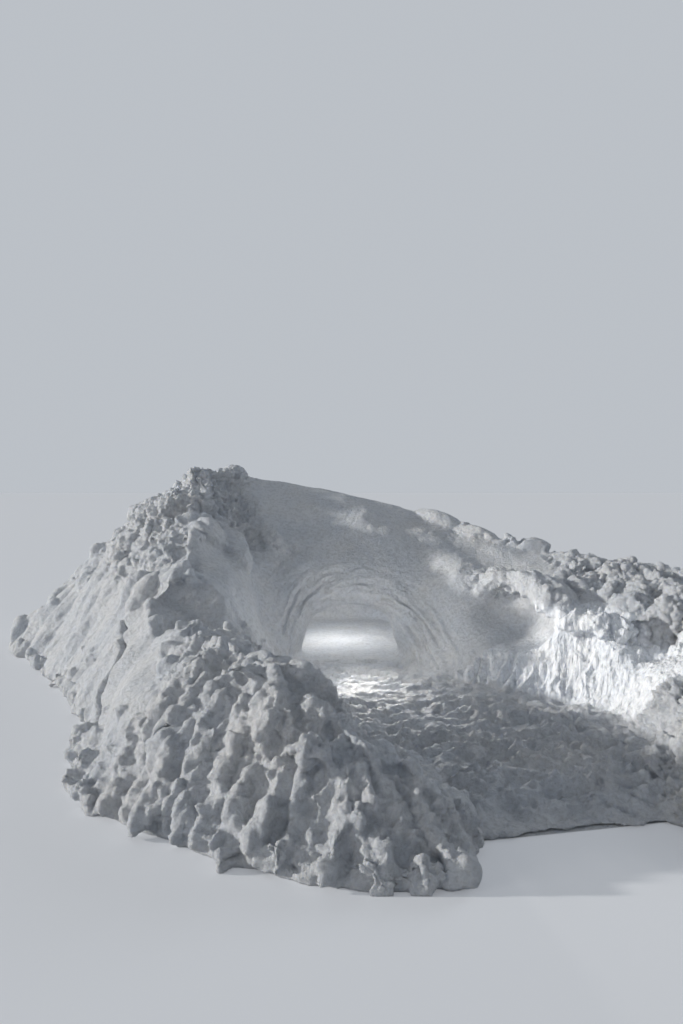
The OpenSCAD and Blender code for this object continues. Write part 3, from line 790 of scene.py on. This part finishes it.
def arch_relief(co, zone):
    """Strokes that wind round the arch."""
    x, _, z = co.T
    angle, reach = np.arctan2(z - FLOOR_Z, x), np.hypot(x, z - FLOOR_Z)
    winding = reach - 0.16 * (math.pi / 2 - angle) + 0.03 * octaves(co, size=0.3, count=2, seed=151)
    return ARCH_STROKE * feathers(winding, angle, size=0.11, tall=0.9, count=4, seed=71) * zone["rim"]


def crack_relief(co):
    """The crack between the flank and the slab, and the lip along it."""
    x, y, z = co.T
    _, off = along_path(CRACK, x + 0.03 * octaves(co, size=0.2, count=2, seed=161), y)
    ragged = ramp(-y, 0.5, 0.8) * ramp(y, -2.3, -1.9) * ramp(z, 0.04, 0.10)
    lip = np.where(off < 0, CRACK_LIP * np.exp(off / 0.20), 0)
    return (lip - CRACK_DEPTH * bump(off, 0.006, 0.015)) * ragged


def tread_relief(co, zone, warp, patches, front):
    """The trodden floor, which runs out to nothing in front."""
    steps = billows(co * [1, 1.6, 0.5] + 0.06 * warp, size=0.36, count=4, seed=81)
    fine_noise = octaves(co * [1, 1.5, 0.5], size=0.12, count=3, seed=87)
    tread = -TREAD * steps * (0.6 + 0.7 * patches) - TREAD_GRAIN * fine_noise
    deeper = 0.7 + 0.6 * ramp(-co[:, 1], 0.5, 2.5)
    return tread * deeper * zone["court"] * (0.3 + 0.7 * ramp(front, 0.02, 0.40))


def vault_relief(co, zone):
    """The vault and the throat under the arch, scooped by hand."""
    scoops = np.minimum(cells(co, size=0.26, seed=93)[0], 0.7)
    inner = VAULT_SWELL * octaves(co, size=0.35, count=3, seed=91) + VAULT_SCOOP * scoops**2
    inner += VAULT_GRAIN * octaves(co, size=0.05, count=2, seed=92)
    inner += THROAT_SWELL * octaves(co, size=0.22, count=2, seed=94) * bump(co[:, 1], 0.15, 0.2)
    return inner * zone["under"]


def relief(co, zone, front):
    """How far each point of the skin moves out along its normal."""
    warp = three_octaves(co, size=0.13, count=2, seeds=(111, 113, 115))
    patches = ramp(octaves(co, size=0.6, count=2, seed=25), -0.5, 0.3)
    rough, rocky = rough_shares(co, zone, patches)
    outer = loose_relief(co, zone, warp, rough, rocky) + slope_relief(co, zone)
    outer += wall_relief(co, zone, warp, rough) + arch_relief(co, zone) + crack_relief(co)
    shift = outer * zone["outside"] * ramp(co[:, 2], 0.0, 0.06)
    shift += tread_relief(co, zone, warp, patches, front) + vault_relief(co, zone)
    return shift * (co[:, 2] > GROUND)


def kept_inside(co):
    """Presses what comes near a side of the CAD's box, or past it, softly back inside."""
    margin, softness = 0.002, 0.06
    for axis, side in ((0, -1), (0, 1), (1, -1), (1, 1), (2, 1)):
        limit = side * (CAD_HIGH if side > 0 else CAD_LOW)[axis] - margin
        outwards = side * co[:, axis]
        over = outwards - limit + softness
        pressed = limit - softness * np.exp(-np.maximum(over, 0) / softness)
        co[:, axis] = side * np.where(over > 0, pressed, outwards)
    co[:, 2] = np.maximum(co[:, 2], 0)
    return co


def underside(index):
    """Points and triangles of a CAD solid's underside, which needs few faces."""
    level_height = 1e-5
    points, tris = cad_parts[index]
    level = tris[(points[tris, 2] < level_height).all(axis=1)]
    used, inverse = np.unique(level.ravel(), return_inverse=True)
    return points[used], inverse.reshape(-1, 3)


def corner_keys(points):
    """Plan places in tenths of a millimetre, by which shared corners are known."""
    return [tuple(key) for key in np.round(points[:, :2] * 1e4).astype(int).tolist()]


def outline_corners():
    """Corners of the CAD's underside on the outline of the whole, where an edge has one face only."""
    edges = Counter()
    for index in range(len(NODES)):
        points, tris = underside(index)
        keys = corner_keys(points)
        for tri in tris:
            for a, b in ((0, 1), (1, 2), (2, 0)):
                edges[tuple(sorted((keys[tri[a]], keys[tri[b]])))] += 1
    return {key for edge, count in edges.items() if count == 1 for key in edge}


OUTLINE = outline_corners()


def snow_mesh(name, index, faces, co, normals, scraped):
    """A node's share of the skin, with its normals, closed below by the CAD's own underside."""
    used, inverse = np.unique(faces.ravel(), return_inverse=True)
    base, base_faces = underside(index)
    at_edge = np.array([key in OUTLINE for key in corner_keys(base)], float)
    base = base + [0, 0, BASE_LIFT]
    base[:, :2] -= BASE_TUCK * on_plan(fall, base[:, 0], base[:, 1]) * at_edge[:, None]
    mesh = bpy.data.meshes.new(name)
    corners = [tuple(f) for f in inverse.reshape(-1, 4)]
    corners += [tuple(f) for f in base_faces + len(used)]
    mesh.from_pydata(np.concatenate([co[used], base]), [], corners)
    mesh.polygons.foreach_set("use_smooth", [True] * len(mesh.polygons))
    shares = np.concatenate([scraped[used], np.zeros(len(base))]).astype(np.float32)
    mesh.attributes.new("wall", "FLOAT", "POINT").data.foreach_set("value", shares)
    level = np.tile([0.0, 0.0, -1.0], (len(base), 1))
    mesh.normals_split_custom_set_from_vertices(np.concatenate([normals[used], level]))
    return mesh


# The skin of the whole heap
skin = fine_skin(lumps(*carved_heap()))
co, ends, quads = coords(skin), edges_of(skin), squares(skin)
owner = owner_of(co)
zone = zones(co, ends, owner, passes=10)
front = along_path(MOUTH, co[:, 0], co[:, 1])[1]
co = drifted(co, ends, zone, front)
set_coords(skin, co)
normals = spread(normals_of(skin), ends, passes=8, free=[1.0] * 3)
normals /= np.linalg.norm(normals, axis=1)[:, None] + 1e-6
co = kept_inside(co + normals * relief(co, zone, front)[:, None])
set_coords(skin, co)
normals = normals_of(skin)

# One piece of snow for each node
face_owner = owner[quads[:, 0]]
pieces = []
for index, name in enumerate(NODES):
    mesh = snow_mesh(name + "_snow", index, quads[face_owner == index], co, normals, zone["wall"])
    piece = bpy.data.objects.new(name + "_snow", mesh)
    bpy.context.scene.collection.objects.link(piece)
    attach(piece, "root")
    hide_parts(name)
    pieces.append(piece)


def feed(node, inputs):
    """Gives each named input of a shader node a value, or the output of another node."""
    for name, given in inputs.items():
        if isinstance(given, bpy.types.NodeSocket):
            node.id_data.links.new(given, node.inputs[name])
        else:
            node.inputs[name].default_value = given
    return node


def new_node(tree, kind, inputs):
    """A new shader node with its inputs fed."""
    return feed(tree.nodes.new("ShaderNode" + kind), inputs)


def snow_material(name, tint, rough):
    """Packed snow: pale, faintly blue in depth, with a fine grain, drawn out upright on the scraped wall;
    painted shade darkens the pits of the crumb grain.
    """
    made = bpy.data.materials.new(name)
    made.use_nodes = True
    tree = made.node_tree
    shader = feed(tree.nodes["Principled BSDF"], {
        "Roughness": rough,
        "Subsurface Weight": 0.15,
        "Subsurface Radius": (0.05, 0.06, 0.08),
        "Subsurface Scale": 0.12,
        "Specular IOR Level": 0.15,
    })
    place = tree.nodes.new("ShaderNodeTexCoord").outputs["Object"]

    # Colour: large soft patches, with painted shade that darkens the pits of the crumb grain a little
    patches = new_node(tree, "TexNoise", {"Vector": place, "Scale": 2.5, "Detail": 4})
    colour = new_node(tree, "ValToRGB", {"Fac": patches.outputs["Fac"]})
    dark, light = colour.color_ramp.elements
    dark.position, light.position = 0.3, 0.7
    dark.color = (tint[0] * 0.90, tint[1] * 0.93, tint[2] * 0.97, 1)
    light.color = (*tint, 1)
    crumbs = new_node(tree, "TexNoise", {"Vector": place, "Scale": 30, "Detail": 6, "Roughness": 0.75})
    # Painted shade: where the crumb noise is low, in the pits of the bump, the colour is multiplied down to
    # 0.8
    fine_noise = new_node(tree, "MapRange", {
        "Value": crumbs.outputs["Fac"],
        "From Min": 0.35,
        "From Max": 0.55,
        "To Min": 0.80,
        "To Max": 1.0,
    })
    # The patches' colour times the painted shade of the pits
    pit_shaded_colour = tree.nodes.new("ShaderNodeMix")
    pit_shaded_colour.data_type = "RGBA"
    pit_shaded_colour.blend_type = "MULTIPLY"
    feed(pit_shaded_colour, {"Factor": 1.0, "A": colour.outputs["Color"], "B": fine_noise.outputs["Result"]})

    # Grain: crumbs, and upright streaks where the snow is scraped
    drawn = new_node(tree, "Mapping", {"Vector": place, "Scale": (24, 24, 4)})
    streaks = new_node(tree, "TexNoise", {"Vector": drawn.outputs["Vector"], "Scale": 1.0, "Detail": 4})
    scraped = tree.nodes.new("ShaderNodeAttribute")
    scraped.attribute_name = "wall"
    heights = new_node(tree, "Mix", {
        "Factor": scraped.outputs["Fac"],
        "A": crumbs.outputs["Fac"],
        "B": streaks.outputs["Fac"],
    })
    raised = new_node(tree, "Bump", {"Strength": 1.0, "Distance": 0.048, "Height": heights.outputs["Result"]})
    feed(shader, {"Base Color": pit_shaded_colour.outputs["Result"], "Normal": raised.outputs["Normal"]})
    return made


SNOW = snow_material("snow", (0.85, 0.87, 0.90), 0.85)
for piece in pieces:
    piece.data.materials.append(SNOW)

# Camera at the photograph's angle: eye height over the forecourt, and the horizon above the middle
EYE = Vector((-0.08, -7.6, FLOOR_Z + 1.86))
PHOTO_HEIGHT_PX = 1024
FOCAL_LENGTH_PX = 796
HORIZON_ROW_PX = 475
SENSOR_MM = 36
FOCAL_SHARE = FOCAL_LENGTH_PX / PHOTO_HEIGHT_PX
HORIZON_SHARE = (PHOTO_HEIGHT_PX / 2 - HORIZON_ROW_PX) / PHOTO_HEIGHT_PX
lens = bpy.data.cameras.new("camera")
lens.sensor_width = SENSOR_MM
lens.lens = SENSOR_MM * FOCAL_SHARE
camera = bpy.data.objects.new("camera", lens)
camera.location = EYE
camera.rotation_euler = (math.radians(90) - math.atan(HORIZON_SHARE / FOCAL_SHARE), 0, 0)
bpy.context.scene.collection.objects.link(camera)
bpy.context.scene.camera = camera


def lamp(name, kind, power, place, aim, colour):
    """A lamp of any kind that points from its place at its aim."""
    data = bpy.data.lights.new(name, kind)
    data.energy = power
    data.color = colour
    made = bpy.data.objects.new(name, data)
    made.location = place
    made.rotation_euler = (Vector(aim) - Vector(place)).to_track_quat("-Z", "Y").to_euler()
    bpy.context.scene.collection.objects.link(made)
    return made


def sun(name, power, place, degrees, colour):
    """Parallel light from a place towards the origin; degrees is how wide its source looks."""
    made = lamp(name, "SUN", power, place, (0, 0, 0), colour)
    made.data.angle = math.radians(degrees)


def bulb(name, power, place, radius, colour):
    """A lamp that shines all round and isn't seen itself."""
    made = lamp(name, "POINT", power, place, (0, 0, 0), colour)
    made.data.shadow_soft_size = radius
    made.visible_camera = False


def beam(name, power, place, aim, degrees, blend, radius, colour):
    """A cone of light, so many degrees wide, that isn't seen itself."""
    made = lamp(name, "SPOT", power, place, aim, colour)
    made.data.spot_size = math.radians(degrees)
    made.data.spot_blend = blend
    made.data.shadow_soft_size = radius
    made.visible_camera = False


# Raking key from the left, weak fills, and the lamp in the chamber with its spill
COOL = (0.92, 0.96, 1.0)
GLOW = (1.0, 0.97, 0.92)
SPILL = (1.0, 0.95, 0.88)
sun("key", 2.9, (-9.0, 0.1, 2.1), degrees=2.5, colour=(1.0, 0.96, 0.90))
sun("side_fill", 0.50, (-8.0, -5.0, 2.4), degrees=25, colour=(1.0, 0.97, 0.93))
sun("fill", 0.22, (4.0, -8.0, 6.0), degrees=40, colour=COOL)
sun("rim_light", 0.5, (8.0, 7.0, 5.0), degrees=25, colour=COOL)
bulb("chamber_lamp", 15, (-0.1, CHAMBER.y - 0.25, FLOOR_Z + 0.55), radius=0.12, colour=GLOW)
bulb("door_lamp", 8, (0.10, -0.46, FLOOR_Z + 0.54), radius=0.12, colour=GLOW)
beam("jamb", 14, (-0.45, -0.35, FLOOR_Z + 0.45), (1.3, -0.8, 0.35), degrees=75, blend=0.8, radius=0.15,
     colour=SPILL)
beam("spill", 210, (-0.1, 0.2, FLOOR_Z + 0.52), (0.60, -3.2, FLOOR_Z), degrees=66, blend=1.0, radius=0.2,
     colour=SPILL)

# Even light from all round; the camera and reflections see a pale backdrop in its place
world = bpy.data.worlds.new("world")
world.use_nodes = True
tree = world.node_tree
ambient = feed(tree.nodes["Background"], {"Color": (0.84, 0.91, 1.0, 1), "Strength": 0.25})
backdrop = new_node(tree, "Background", {"Color": (0.50, 0.53, 0.57, 1), "Strength": 1.0})
rays = tree.nodes.new("ShaderNodeLightPath")
either = tree.nodes.new("ShaderNodeMath")
either.operation = "MAXIMUM"
feed(either, {0: rays.outputs["Is Camera Ray"], 1: rays.outputs["Is Glossy Ray"]})
mix = new_node(tree, "MixShader", {"Fac": either.outputs[0], 1: ambient.outputs[0], 2: backdrop.outputs[0]})
feed(tree.nodes["World Output"], {"Surface": mix.outputs[0]})
bpy.context.scene.world = world

# A matt floor that fades into the backdrop; it lies just under the snow
FLOOR_SIZE = 160
FLOOR_GAP = 0.002
bpy.ops.mesh.primitive_plane_add(size=FLOOR_SIZE, location=(0, 0, -FLOOR_GAP))
ground = bpy.context.object
ground.name = "floor"
paper = bpy.data.materials.new("floor_paper")
paper.use_nodes = True
tree = paper.node_tree
matte = feed(tree.nodes["Principled BSDF"], {
    "Base Color": (0.62, 0.64, 0.67, 1),
    "Roughness": 0.9,
    "Specular IOR Level": 0.0,
})
seen = tree.nodes.new("ShaderNodeLightPath").outputs["Is Camera Ray"]
lift = new_node(tree, "Emission", {"Color": (0.165, 0.17, 0.18, 1), "Strength": seen})
both = new_node(tree, "AddShader", {0: matte.outputs[0], 1: lift.outputs[0]})
feed(tree.nodes["Material Output"], {"Surface": both.outputs[0]})
ground.data.materials.append(paper)

bpy.context.scene.view_settings.view_transform = "Standard"
